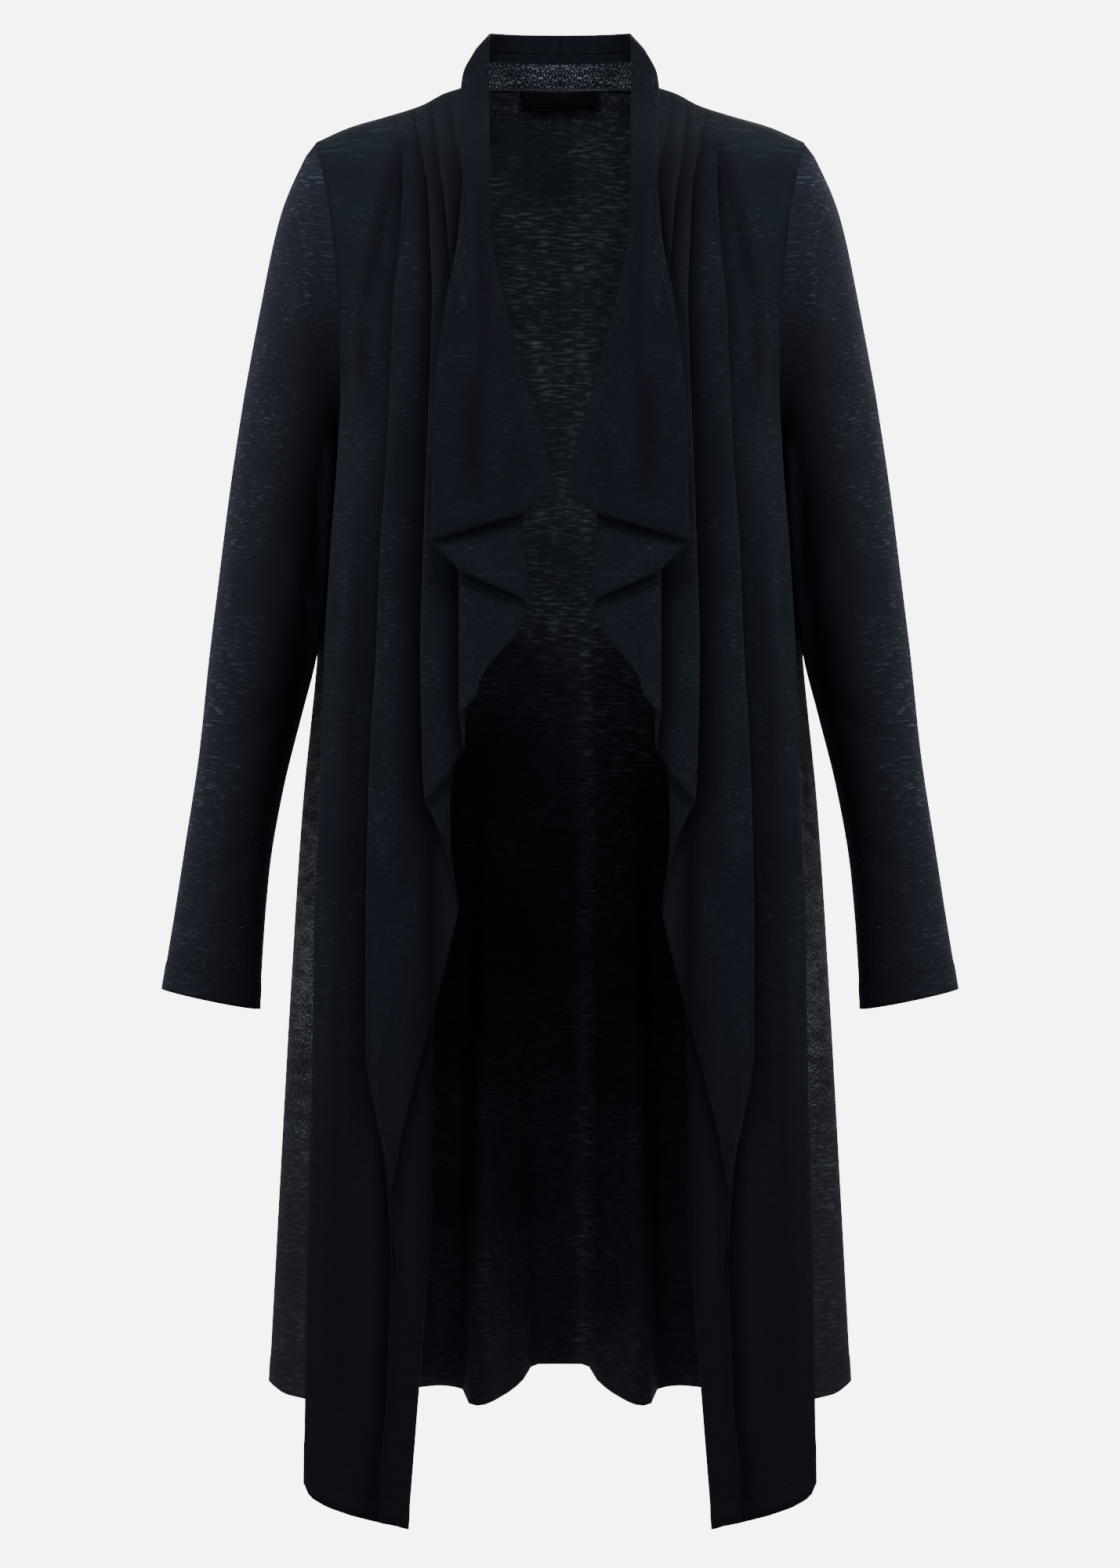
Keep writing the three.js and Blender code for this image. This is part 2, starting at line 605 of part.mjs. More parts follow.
const cardigan = new THREE.Group();
cardigan.add(clothMesh('back', back()));
cardigan.add(clothMesh('front_right', front(-1)));
cardigan.add(clothMesh('front_left', front(1)));
cardigan.add(clothMesh('sleeve_right', sleeve(-1)));
cardigan.add(clothMesh('sleeve_left', sleeve(1)));
cardigan.add(clothMesh('neck_label', neckLabel(), labelColour));

export default cardigan;
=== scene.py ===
import math

import bpy
import numpy as np
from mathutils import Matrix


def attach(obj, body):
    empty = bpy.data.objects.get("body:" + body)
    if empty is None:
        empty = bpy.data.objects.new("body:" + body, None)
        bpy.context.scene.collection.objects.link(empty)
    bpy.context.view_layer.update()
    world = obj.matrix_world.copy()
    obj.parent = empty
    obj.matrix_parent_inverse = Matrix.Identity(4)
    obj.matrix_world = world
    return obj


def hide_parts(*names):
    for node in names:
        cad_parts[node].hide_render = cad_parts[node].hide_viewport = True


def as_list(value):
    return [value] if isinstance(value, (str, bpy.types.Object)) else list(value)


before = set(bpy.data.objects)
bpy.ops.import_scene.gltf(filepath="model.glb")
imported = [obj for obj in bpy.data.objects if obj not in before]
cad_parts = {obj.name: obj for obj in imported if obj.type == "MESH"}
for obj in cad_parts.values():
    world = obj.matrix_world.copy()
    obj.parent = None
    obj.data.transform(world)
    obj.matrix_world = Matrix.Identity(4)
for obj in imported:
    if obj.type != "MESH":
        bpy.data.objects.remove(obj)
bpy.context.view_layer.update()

# Waterfall cardigan. Tables are in millimetres; out is from the centre plane, deep is Y, up is Z.
bpy.ops.object.select_all(action="DESELECT")
mm = 0.001
print("frame loaded")


def mix(a, b, share):
    return a + (b - a) * share


def smooth(low, high, value):
    share = np.clip((value - low) / (high - low), 0, 1)
    return share * share * (3 - 2 * share)


def table(keys, rows):
    return {key: np.array([row[i] for row in rows], float) for i, key in enumerate(keys.split())}


def read(rows, key, places, column):
    # gentle cubic through one column of a table
    x = rows[key]
    y = rows[column]
    if x[-1] < x[0]:
        x = x[::-1]
        y = y[::-1]
    slopes = np.diff(y) / np.diff(x)
    ends = np.concatenate([[slopes[0]], np.zeros(len(slopes) - 1), [slopes[-1]]])
    product = slopes[:-1] * slopes[1:]
    total = slopes[:-1] + slopes[1:]
    ends[1:-1] = np.where(product > 0, 2 * product / np.where(product > 0, total, 1), 0)
    places = np.clip(np.asarray(places, float), x[0], x[-1])
    i = np.clip(np.searchsorted(x, places) - 1, 0, len(x) - 2)
    span = x[i + 1] - x[i]
    t = (places - x[i]) / span
    rest = 1 - t
    return (y[i] * (1 + 2 * t) * rest ** 2 + y[i + 1] * (3 - 2 * t) * t ** 2
            + ends[i] * span * t * rest ** 2 - ends[i + 1] * span * t * t * rest)


def curveThrough(points, share):
    # smooth curve through a few points, share from 0 to 1
    points = np.asarray(points, float)
    lengths = np.sqrt(np.linalg.norm(np.diff(points, axis=0), axis=1))
    knots = np.concatenate([[0], np.cumsum(lengths)])
    count = len(points) - 1
    place = np.clip(share, 0, 1) * count
    i = min(int(place), count - 1)
    at = mix(knots[i], knots[i + 1], place - i)
    before = points[i - 1] if i > 0 else 2 * points[0] - points[1]
    after = points[i + 2] if i < count - 1 else 2 * points[-1] - points[-2]
    k0 = knots[i] - (lengths[i - 1] if i > 0 else lengths[0])
    k3 = knots[i + 1] + (lengths[i + 1] if i < count - 1 else lengths[-1])
    k1, k2 = knots[i], knots[i + 1]
    a1 = mix(before, points[i], (at - k0) / (k1 - k0))
    a2 = mix(points[i], points[i + 1], (at - k1) / (k2 - k1))
    a3 = mix(points[i + 1], after, (at - k2) / (k3 - k2))
    b1 = mix(a1, a2, (at - k0) / (k2 - k0))
    b2 = mix(a2, a3, (at - k1) / (k3 - k1))
    return mix(b1, b2, (at - k1) / (k2 - k1))


# Seams that the pieces share, as the solids have them
seams = {
    "gap": -0.3,
    "shoulder": table("out up", [
        (69, 0), (81, -4), (96, -12), (121, -20), (145, -27), (170, -38)]),
    "armholeFront": [
        (170, 0, -38), (162, -33, -70), (155, -54, -112), (151, -62, -158), (150, -58, -205),
        (150, -32, -248), (150, 5, -264)],
    "armholeBack": [
        (170, 0, -38), (163, 36, -70), (157, 61, -112), (152, 72, -158), (150, 69, -205),
        (150, 40, -248), (150, 5, -264)],
    "neckHalfWidth": 69,
    "neckDepth": 62,
    "neckRise": 9,
}

clothWall = {"single": 0.4, "hem": 1.3, "hemStep": 1.2}


def thickness(hemDistance, hemWidth):
    turned = 1 - smooth(hemWidth - clothWall["hemStep"], hemWidth + clothWall["hemStep"], hemDistance)
    return mix(clothWall["single"], clothWall["hem"], turned)


def surfaceNormals(points, faces):
    across = points[faces[:, 2]] - points[faces[:, 0]]
    along = points[faces[:, 3]] - points[faces[:, 1]]
    each = np.cross(across, along)
    each /= np.maximum(np.linalg.norm(each, axis=1, keepdims=True), 1e-9)
    normals = np.zeros_like(points)
    for corner in range(4):
        np.add.at(normals, faces[:, corner], each)
    return normals / np.maximum(np.linalg.norm(normals, axis=1, keepdims=True), 1e-9)


def gridFaces(columns, rows, first=0, closed=False):
    i, j = np.meshgrid(np.arange(columns if closed else columns - 1), np.arange(rows - 1), indexing="ij")
    here = i * rows + j
    beside = ((i + 1) % columns) * rows + j
    return np.stack([here, here + 1, beside + 1, beside], axis=-1).reshape(-1, 4) + first


creaseTaper = {"used": 0.96, "start": 0.02, "ease": 0.6}


def crease(points, marks):
    # soft troughs (negative) and ridges along short runs given from the front, in out and up
    lift = np.zeros(len(points))
    for (outA, upA), (outB, upB), depth, width in marks:
        start = np.array([outA, upA])
        run = np.array([outB, upB]) - start
        place = points[:, [0, 2]] - start
        t = np.clip(place @ run / (run @ run), 0, 1)
        distance = np.linalg.norm(place - t[:, None] * run, axis=1)
        inside = t * creaseTaper["used"] + creaseTaper["start"]
        taper = np.sin(np.pi * np.clip(inside, 0, 1)) ** creaseTaper["ease"]
        lift += depth * np.exp(-(distance / width) ** 2) * taper
    return lift


def clothObject(name, points, faces, half, uv, marks, material):
    # closed wall with its own thickness at every point, and a UV map in metres of cloth
    normals = surfaceNormals(points, faces)
    count = len(points)
    vertices = np.concatenate([points + normals * half[:, None], points - normals * half[:, None]]) * mm
    inner = faces[:, ::-1] + count
    edges = {}
    for a, b, c, d in faces.tolist():
        for edge in ((a, b), (b, c), (c, d), (d, a)):
            if (edge[1], edge[0]) in edges:
                del edges[(edge[1], edge[0])]
            else:
                edges[edge] = True
    rim = [(a, a + count, b + count, b) for a, b in edges]
    mesh = bpy.data.meshes.new(name)
    mesh.from_pydata(vertices.tolist(), [], faces.tolist() + inner.tolist() + rim)
    layer = mesh.uv_layers.new(name="UVMap")
    loops = np.empty(len(mesh.loops), int)
    mesh.loops.foreach_get("vertex_index", loops)
    both = np.concatenate([uv, uv])
    layer.data.foreach_set("uv", both[loops].astype(np.float32).ravel())
    for key, values in marks.items():
        attribute = mesh.attributes.new(key, "FLOAT", "POINT")
        attribute.data.foreach_set("value", np.concatenate([values, values]).astype(np.float32))
    mesh.polygons.foreach_set("use_smooth", np.ones(len(mesh.polygons), bool))
    mesh.update()
    piece = bpy.data.objects.new(name, mesh)
    bpy.context.collection.objects.link(piece)
    mesh.materials.append(material)
    return piece


def runLength(points, columns, rows):
    grid = points.reshape(columns, rows, 3)
    down = np.zeros((columns, rows))
    down[:, 1:] = np.cumsum(np.linalg.norm(np.diff(grid, axis=1), axis=2), axis=1)
    across = np.zeros((columns, rows))
    across[1:] = np.cumsum(np.linalg.norm(np.diff(grid, axis=0), axis=2), axis=0)
    return across, down


# Front: the panel folds back and forth from the side seam to its free edge
front = {
    "rows": 150,
    "rowEase": 1.25,
    "sideColumns": 12,
    "sideBulge": 2,
    "sideEase": 0.85,
    "sideHemEase": 1.3,
    "turn": 0.5,
    "firstTurnEase": 5,
    "lastTurnEase": 3,
    "layerLean": 0.12,
    "layerBend": 0.38,
    "cornerEase": 3,
    "collarRows": 46,
    "collarInset": -0.4,
    "collarTuck": 1.2,
    "tuckEase": 8,
    "collarTop": {"deep": 59, "up": 47},
    "collarSquare": 0.6,
    "collarBand": (19, 21),
    "hemWidth": 15,
    "farFromHem": 999,
    "calmDrop": 12,
    "shoulderReach": 110,
    "sideSeamHem": -911,
    "armholeShare": 0.62,
    "headShare": 0.5,
    "sheerSide": 0.6,
    "sheerEase": 0.7,
    "sheerCollar": 0.8,
    # tones below: painted light and shade per layer, painted shadow beside covering folds, painted shade in
    # crease troughs and towards the hem, and a lighter collar band
    "airy": (0.7, 0.95, 0.8, 0.45),
    "collarBandTone": 1.2,
    "coveredBy": {0: "fold2", 1: "fold4", 2: "fold4", 3: "fold6", 4: "fold6", 5: "roll", 6: "roll"},
    "coverShadeTone": 0.95,
    "firstCover": 0.45,
    "coverReach": 11,
    "shadowLineTone": 0.8,
    "lineReach": 4.5,
    "lowShadeTone": 0.25,
    "lowShadeTop": -420,
    "lowShadeBottom": -900,
    "lowShadeLevel": 0.3,
    "troughShadeTone": 0.8,
    "troughDepth": 2.0,
}
collarSection = table("share out deep up", [
    (0, 69, 0, 0), (0.3, 67.5, 0, 10), (0.6, 62, -1, 20), (0.8, 56, -2, 26), (1, 49.5, -3, 29)])
frontHang = table("up side corner fold1 fold2 fold3 fold4 fold5 fold6 fold7 roll edge", [
    (30, 150, 150, 115, 109, 101, 95, 88, 82, 76, 69, 49.5),
    (0, 150, 150, 115, 109, 101, 95, 88, 82, 76, 69, 49),
    (-60, 150, 150, 106, 107, 93, 91, 82, 80, 68, 66, 48),
    (-110, 150, 150, 92, 108, 78, 88, 74, 76, 56, 68, 47),
    (-160, 150, 149, 80, 112, 68, 86, 68, 72, 45, 76, 37),
    (-210, 150, 148, 72, 114, 62, 87, 65, 69, 35, 82, 25),
    (-264, 150, 151, 67, 116, 60, 89, 64, 68, 27, 85, 9),
    (-320, 153, 155, 68, 120, 62, 91, 63, 67, 24, 85, 1),
    (-392, 158, 159, 71, 123, 66, 93, 63, 67, 20, 85, 1),
    (-460, 160, 161, 74, 127, 71, 92, 64, 66, 20, 85, 1),
    (-520, 162, 163, 78, 129, 74, 88, 64, 66, 20, 85, 1),
    (-580, 164, 166, 81, 130, 67, 86, 64, 66, 20, 85, 1),
    (-660, 165, 167, 86, 130, 64, 86, 64, 66, 20, 85, 1),
    (-760, 166, 169, 86, 114, 64, 86, 64, 66, 20, 85, 1),
    (-840, 167, 171, 91, 114, 64, 86, 64, 66, 20, 85, 1),
    (-984, 168, 173, 102, 132, 64, 86, 64, 66, 20, 85, 1)])
frontDepth = table("up panel cornerBack step sideDeep", [
    (30, 0, 0, 0.4, 5), (0, -8, 2, 1.0, 5), (-60, -56, 16, 1.9, 5), (-110, -76, 24, 2.9, 5),
    (-160, -88, 26, 3.8, 5), (-210, -95, 30, 4.6, 5), (-264, -99, 28, 5.2, 5), (-320, -100, 20, 5.8, 3),
    (-460, -98, 14, 6.8, -2), (-660, -98, 11, 7.6, -6), (-984, -102, 10, 8.4, -10)])
frontLayers = [
    {"from": "corner", "to": "fold1", "columns": 36, "edge": [
        (173, -955), (171, -961), (166, -966), (156, -971), (140, -976), (119, -981), (102, -984)]},
    {"from": "fold1", "to": "fold2", "columns": 18, "edge": [
        (102, -984), (122, -977), (119, -929), (115, -882), (111, -840), (112, -800), (113, -761)]},
    {"from": "fold2", "to": "fold3", "columns": 18, "edge": [
        (113, -761), (107, -724), (99, -692), (89, -654), (82, -627), (74, -594), (66, -567)]},
    {"from": "fold3", "to": "fold4", "columns": 10, "edge": [(66, -567), (75, -530), (87, -496)]},
    {"from": "fold4", "to": "fold5", "columns": 11, "edge": [(87, -496), (73, -476), (64, -460)]},
    {"from": "fold5", "to": "fold6", "columns": 4, "edge": [(64, -460), (66, -438)]},
    {"from": "fold6", "to": "fold7", "columns": 16, "edge": [
        (66, -438), (56, -426), (52, -412), (42, -399), (29, -385), (21, -368)]},
    {"from": "fold7", "to": "roll", "columns": 20, "edge": [
        (21, -368), (24, -361), (66, -343), (85, -323)]},
    {"from": "roll", "to": "edge", "columns": 28, "edge": [
        (85, -323), (66, -317), (22, -304), (13, -296), (1, -294)]},
]
lastLayer = len(frontLayers) - 1

# Main creases of the front: start, end, depth and width
frontCreases = [
    ((107, -34), (132, -155), -4.2, 7),
    ((100, -40), (122, -150), 2.6, 9),
    ((134, -150), (133, -240), -2.6, 6),
    ((146, -200), (150, -420), 1.9, 8),
    ((139, -260), (141, -620), -2.4, 10),
    ((104, -300), (106, -560), -2.2, 7),
    ((131, -420), (133, -760), 2.1, 9),
    ((152, -520), (156, -900), -2.6, 11),
    ((140, -640), (144, -950), 1.9, 9),
    ((122, -700), (126, -930), -2.2, 8),
    ((70, -60), (62, -200), 2.4, 6),
    ((56, -70), (48, -230), -2.2, 7),
    ((44, -130), (36, -270), 1.8, 8),
    ((60, -200), (56, -300), -1.9, 9),
    ((30, -230), (34, -296), -1.4, 7),
    ((160, -560), (161, -760), 1.9, 7),
    ((96, -600), (100, -690), -1.6, 6),
]


def acrossLayer(index, share):
    if index == 0:
        return math.sin(share * math.pi / 2)
    if index == lastLayer:
        return 1 - math.cos(share * math.pi / 2)
    return (1 - math.cos(share * math.pi)) / 2


def towardViewer(index, share):
    if index == 0:
        return front["turn"] * share ** front["firstTurnEase"]
    if index == lastLayer:
        return index - front["turn"] * (1 - share) ** front["lastTurnEase"]
    place = 2 * share - 1
    return index + front["layerLean"] * place + front["layerBend"] * place ** 3


def frontHangPoints(layer, share, up):
    up = np.atleast_1d(up)
    panel = read(frontDepth, "up", up, "panel")
    cornerBack = read(frontDepth, "up", up, "cornerBack")
    if layer < 0:
        out = mix(read(frontHang, "up", up, "side"), read(frontHang, "up", up, "corner"), share)
        out = out + front["sideBulge"] * math.sin(share * math.pi)
        sideDeep = read(frontDepth, "up", up, "sideDeep") - seams["gap"]
        return np.stack([out, mix(sideDeep, panel + cornerBack, share ** front["sideEase"]), up], axis=1)
    row = frontLayers[layer]
    across = acrossLayer(layer, share)
    out = mix(read(frontHang, "up", up, row["from"]), read(frontHang, "up", up, row["to"]), across)
    turn = cornerBack * (1 - across) ** front["cornerEase"] if layer == 0 else 0
    deep = panel + turn - read(frontDepth, "up", up, "step") * towardViewer(layer, share)
    return np.stack([out, deep, up], axis=1)


def collarSide(share):
    return np.array([float(read(collarSection, "share", share, key)) for key in ("out", "deep", "up")])


def frontTop(layer, share):
    gap = np.array([0, seams["gap"], 0])
    if layer < 0:
        return curveThrough(seams["armholeFront"], 1 - share * (1 - front["armholeShare"])) - gap
    row = frontLayers[layer]
    if layer == lastLayer:
        return collarSide(share) - gap
    if layer == 0 and share < front["headShare"]:
        return curveThrough(seams["armholeFront"], front["armholeShare"] * (1 - share / front["headShare"]))
    head = seams["shoulder"]["out"][-1]
    top = {key: frontHang[key][0] for key in frontHang}
    if layer == 0:
        out = mix(head, top["fold1"], (share - front["headShare"]) / (1 - front["headShare"]))
    else:
        out = mix(top[row["from"]], top[row["to"]], share)
    return np.array([out, -seams["gap"], float(read(seams["shoulder"], "out", out, "up"))])


def frontBottom(layer, share):
    if layer < 0:
        return mix(front["sideSeamHem"], frontLayers[0]["edge"][0][1], share ** front["sideHemEase"])
    row = frontLayers[layer]
    last = len(row["edge"]) - 1
    places = []
    for i, (out, up) in enumerate(row["edge"]):
        start = float(read(frontHang, "up", up, row["from"]))
        end = float(read(frontHang, "up", up, row["to"]))
        places.append(0 if i == 0 else 1 if i == last else (out - start) / (end - start))
    return float(np.interp(acrossLayer(layer, share), places, [up for out, up in row["edge"]]))


def shoulderRound(drop, reach):
    left = 1 - np.clip(drop / reach, 0, 1)
    return 1 - np.sqrt(1 - left ** 2)


def collarColumn(share):
    turn = np.arange(front["collarRows"]) / front["collarRows"] * math.pi / 2
    inward, outward = np.cos(turn), np.sin(turn)
    sideOut, sideDeep, sideUp = collarSide(share)
    backDeep = mix(seams["neckDepth"] - front["collarInset"], front["collarTop"]["deep"], share)
    backUp = mix(seams["neckRise"], front["collarTop"]["up"], share)
    tuck = front["collarTuck"] * (1 - share) ** front["tuckEase"]    # into the back neck seam
    lift = (front["collarInset"] * (1 - share) - tuck) * (1 - outward ** front["tuckEase"])
    rise = inward ** (1 - front["collarSquare"] * share)
    reach = 1 - (1 - outward) ** (1 + front["collarSquare"] * share)
    return np.stack([
        (sideOut - front["collarInset"] * inward) * reach + seams["gap"] * inward,
        sideDeep - seams["gap"] + (backDeep - sideDeep) * inward,
        mix(sideUp, backUp, rise) + lift,
    ], axis=1)


def frontColumns():
    columns = [(-1, i / front["sideColumns"]) for i in range(front["sideColumns"])]
    for index, row in enumerate(frontLayers):
        columns += [(index, i / row["columns"]) for i in range(row["columns"])]
    return columns + [(lastLayer, 1.0)]


def evenFall(rows, ease):
    return (np.arange(rows) / (rows - 1)) ** ease


def coveredShade(columns, points):
    # painted shadow on the cloth just outside the edge of the fold that lies over it, with a narrower, darker
    # painted shadow line along the edge
    shade = np.zeros(len(points))
    line = np.zeros(len(points))
    rows = front["rows"]
    for i, (layer, share) in enumerate(columns):
        cover = front["coveredBy"].get(layer)
        if cover is None:
            continue
        part = slice(i * rows, (i + 1) * rows)
        away = points[part, 0] - read(frontHang, "up", points[part, 2], cover)
        strength = front["coverShadeTone"] * (front["firstCover"] if layer == 0 else 1)
        shade[part] = strength * np.exp(-(away / front["coverReach"]) ** 2)
        line[part] = strength * np.exp(-(away / front["lineReach"]) ** 2)
    return shade, line


def makeFront(name, side, material):
    columns = frontColumns()
    rows = front["rows"]
    points = []
    bottoms = []
    for layer, share in columns:
        top = frontTop(layer, share)
        bottom = frontBottom(layer, share)
        up = mix(top[2], bottom, evenFall(rows, front["rowEase"]))
        column = frontHangPoints(layer, share, up)
        shift = top - frontHangPoints(layer, share, top[2])[0]
        shift[2] = 0
        column += shift * shoulderRound(top[2] - up, front["shoulderReach"])[:, None]
        points.append(column)
        bottoms.append(column[-1])
    points = np.concatenate(points)
    across, down = runLength(points, len(columns), rows)
    bottoms = np.array(bottoms)
    slope = np.gradient(bottoms, axis=0)
    slant = np.linalg.norm(slope[:, :2], axis=1) / np.maximum(np.linalg.norm(slope, axis=1), 1e-6)
    hemDistance = (down[:, -1:] - down) * slant[:, None]
    edgeDistance = across[-1:] - across
    lapelFirst = len(columns) - frontLayers[-1]["columns"] - 1
    edgeDistance[:lapelFirst] = front["farFromHem"]
    hemDistance = np.minimum(hemDistance, edgeDistance)

    collar = np.concatenate([collarColumn(share) for layer, share in columns[lapelFirst:]])
    collarCount = len(columns) - lapelFirst
    collarRows = front["collarRows"]
    collarAcross, collarAround = runLength(collar, collarCount, collarRows)
    first = len(points)
    faces = [gridFaces(len(columns), rows), gridFaces(collarCount, collarRows, first)]
    ends = first + np.arange(collarCount) * collarRows + collarRows - 1
    starts = (lapelFirst + np.arange(collarCount)) * rows
    faces.append(np.stack([ends[:-1], starts[:-1], starts[1:], ends[1:]], axis=1))
    faces = np.concatenate(faces)

    allPoints = np.concatenate([points, collar])
    bodyUv = np.stack([across.ravel(), points[:, 2]], axis=1)
    collarUv = np.stack([collarAround.ravel(), collarAcross.ravel()], axis=1)
    uv = np.concatenate([bodyUv, collarUv]) * mm
    collarEdge = (collarAcross[-1:] - collarAcross).ravel()
    hem = np.concatenate([hemDistance.ravel(), collarEdge])
    sheer = np.zeros((len(columns), rows))
    turnedBack = 1 - np.arange(front["sideColumns"]) / front["sideColumns"]
    sheer[:front["sideColumns"]] = front["sheerSide"] * turnedBack[:, None] ** front["sheerEase"]
    # painted light and shade: a tone per layer, darker towards the hem and painted shadow beside the fold
    # that covers each layer; the same mask sets how much light yarn shows
    layerShade = np.array([front["airy"][min(layer + 1, 2)] for layer, share in columns])
    layerShade[lapelFirst:] = front["airy"][-1]
    lowness = smooth(front["lowShadeTop"], front["lowShadeBottom"], points[:, 2])
    airy = np.repeat(layerShade, rows) * mix(1, front["lowShadeLevel"], lowness)
    shade, line = coveredShade(columns, points)
    airy = airy * (1 - shade) - front["shadowLineTone"] * line - front["lowShadeTone"] * lowness
    band = smooth(*front["collarBand"], collarEdge)
    airy = np.concatenate([airy, mix(front["airy"][-1], front["collarBandTone"], band)])
    sheer = np.concatenate([sheer.ravel(), band * front["sheerCollar"]])
    normals = surfaceNormals(allPoints, faces)
    flat = np.abs(normals[:, 1])
    calm = smooth(0, front["calmDrop"], np.concatenate([down.ravel(), np.zeros(len(collar))]))
    lift = crease(allPoints, frontCreases) * flat * calm
    # painted shade in the crease troughs
    airy *= 1 - front["troughShadeTone"] * np.clip(-lift / front["troughDepth"], 0, 1)
    allPoints = allPoints + normals * lift[:, None]
    half = thickness(hem, front["hemWidth"]) / 2
    if side < 0:
        allPoints = allPoints * np.array([-1, 1, 1])
        faces = faces[:, ::-1]
    marks = {"hemDistance": hem * mm, "sheer": sheer, "airy": airy}
    piece = clothObject(name, allPoints, faces, half, uv, marks, material)
    print(name, "made,", len(faces) * 4, "triangles")
    return piece


# Back: one wide piece from side seam to side seam
back = {
    "half": 72,
    "rows": 150,
    "rowEase": 1.25,
    "armholeEnd": 0.4,
    "shoulderEnd": 0.72,
    "shoulderReach": 90,
    "foldTop": -430,
    "foldEase": 1.2,
    "hemWidth": 19,
    "calmDrop": 14,
    "sheerSide": 0.88,
    "sheerAcross": (0.42, 0.72),
    "sheerTop": (-405, -345),
    "sheerLow": (-840, -590),
    "sheerHem": 0.5,
    "sheerNeck": 0.7,
    "neckSheerLow": -60,
    # painted shade low down and a painted fold highlight near the centre back
    "lowShadeLevel": 0.14,
    "lowShadeFade": (-520, -230),
    "sideSeamTone": 0.25,
    "sideSeamToneAcross": (0.66, 0.78),
    "foldHighlightOut": 18,
    "foldHighlightWidth": 6,
    "foldHighlightTone": 0.3,
}
backSections = table(
    "up sideOut sideDeep bulgeOut bulgeDeep cornerOut cornerDeep bladeOut bladeDeep centreDeep", [
        (12, 150, 5, 151, 30, 130, 60, 70, 66, 62),
        (-40, 150, 5, 151, 36, 132, 70, 72, 86, 84),
        (-110, 150, 5, 152, 44, 136, 84, 74, 103, 101),
        (-180, 150, 5, 151, 46, 136, 86, 74, 108, 106),
        (-264, 150, 5, 150, 42, 135, 80, 74, 104, 103),
        (-330, 153, 3, 166, 38, 140, 76, 76, 97, 95),
        (-400, 158, 1, 171, 36, 150, 74, 80, 93, 90),
        (-500, 161, -3, 181, 36, 160, 80, 84, 102, 101),
        (-620, 164, -5, 189, 38, 168, 86, 88, 109, 111),
        (-760, 166, -7, 197, 40, 176, 88, 92, 108, 114),
        (-925, 168, -10, 206, 42, 184, 88, 96, 104, 116)])
backHem = table("out forward up", [
    (0, 0, -903), (20, 1, -903), (24, 14, -909), (40, 34, -920), (58, 52, -925), (66, 40, -924),
    (70, 14, -918), (88, 8, -916), (104, 16, -916), (126, 6, -914), (150, 0, -913),
    (190, 0, -911), (207, 0, -904)])
backCreases = [
    ((-18, -330), (-24, -880), -2.2, 8),
    ((24, -300), (22, -890), -2.0, 9),
    ((52, -480), (56, -880), 1.6, 8),
    ((-50, -460), (-54, -880), 1.8, 8),
    ((90, -420), (96, -880), -1.6, 10),
    ((-88, -440), (-95, -880), -1.8, 10),
    ((120, -260), (128, -840), 1.4, 12),
    ((-122, -280), (-127, -860), 1.5, 12),
    ((60, -30), (40, -300), -1.2, 14),
    ((-62, -40), (-44, -310), -1.3, 14),
    ((110, -60), (128, -240), -1.8, 10),
    ((-110, -60), (-128, -240), -1.7, 10),
    ((0, -200), (3, -520), 0.9, 12),
]


def backRound(up, share):
    # share 1 is the centre back, the fifth of the six places
    value = {key: float(read(backSections, "up", up, key)) for key in backSections}
    places = [
        (value["sideOut"], value["sideDeep"] + seams["gap"], up),
        (value["bulgeOut"], value["bulgeDeep"], up),
        (value["cornerOut"], value["cornerDeep"], up),
        (value["bladeOut"], value["bladeDeep"], up),
        (0, value["centreDeep"], up),
        (-value["bladeOut"], value["bladeDeep"], up),
    ]
    return curveThrough(places, share * 4 / 5)


def backTop(share):
    if share < back["armholeEnd"]:
        return curveThrough(seams["armholeBack"], 1 - share / back["armholeEnd"]) + [0, seams["gap"], 0]
    if share < back["shoulderEnd"]:
        place = (share - back["armholeEnd"]) / (back["shoulderEnd"] - back["armholeEnd"])
        out = mix(seams["shoulder"]["out"][-1], seams["neckHalfWidth"], place)
        return np.array([out, seams["gap"], float(read(seams["shoulder"], "out", out, "up"))])
    turn = (1 - share) / (1 - back["shoulderEnd"]) * math.pi / 2
    return np.array([
        seams["neckHalfWidth"] * math.sin(turn),
        seams["gap"] + seams["neckDepth"] * math.cos(turn),
        seams["neckRise"] * math.cos(turn)])


def backHalf():
    half = []
    hemHeight = backSections["up"][-1]
    for i in range(back["half"] + 1):
        share = i / back["half"]
        top = backTop(share)
        hemPlace = backRound(hemHeight, share)[0]
        hemUp = float(read(backHem, "out", hemPlace, "up"))
        ups = mix(top[2], hemUp, evenFall(back["rows"], back["rowEase"]))
        column = np.array([backRound(up, share) for up in ups])
        shift = top - backRound(top[2], share)
        shift[2] = 0
        column += shift * shoulderRound(top[2] - ups, back["shoulderReach"])[:, None]
        fall = np.clip((back["foldTop"] - ups) / (back["foldTop"] - hemUp), 0, 1)
        column[:, 1] -= float(read(backHem, "out", hemPlace, "forward")) * fall ** back["foldEase"]
        half.append(column)
    return half


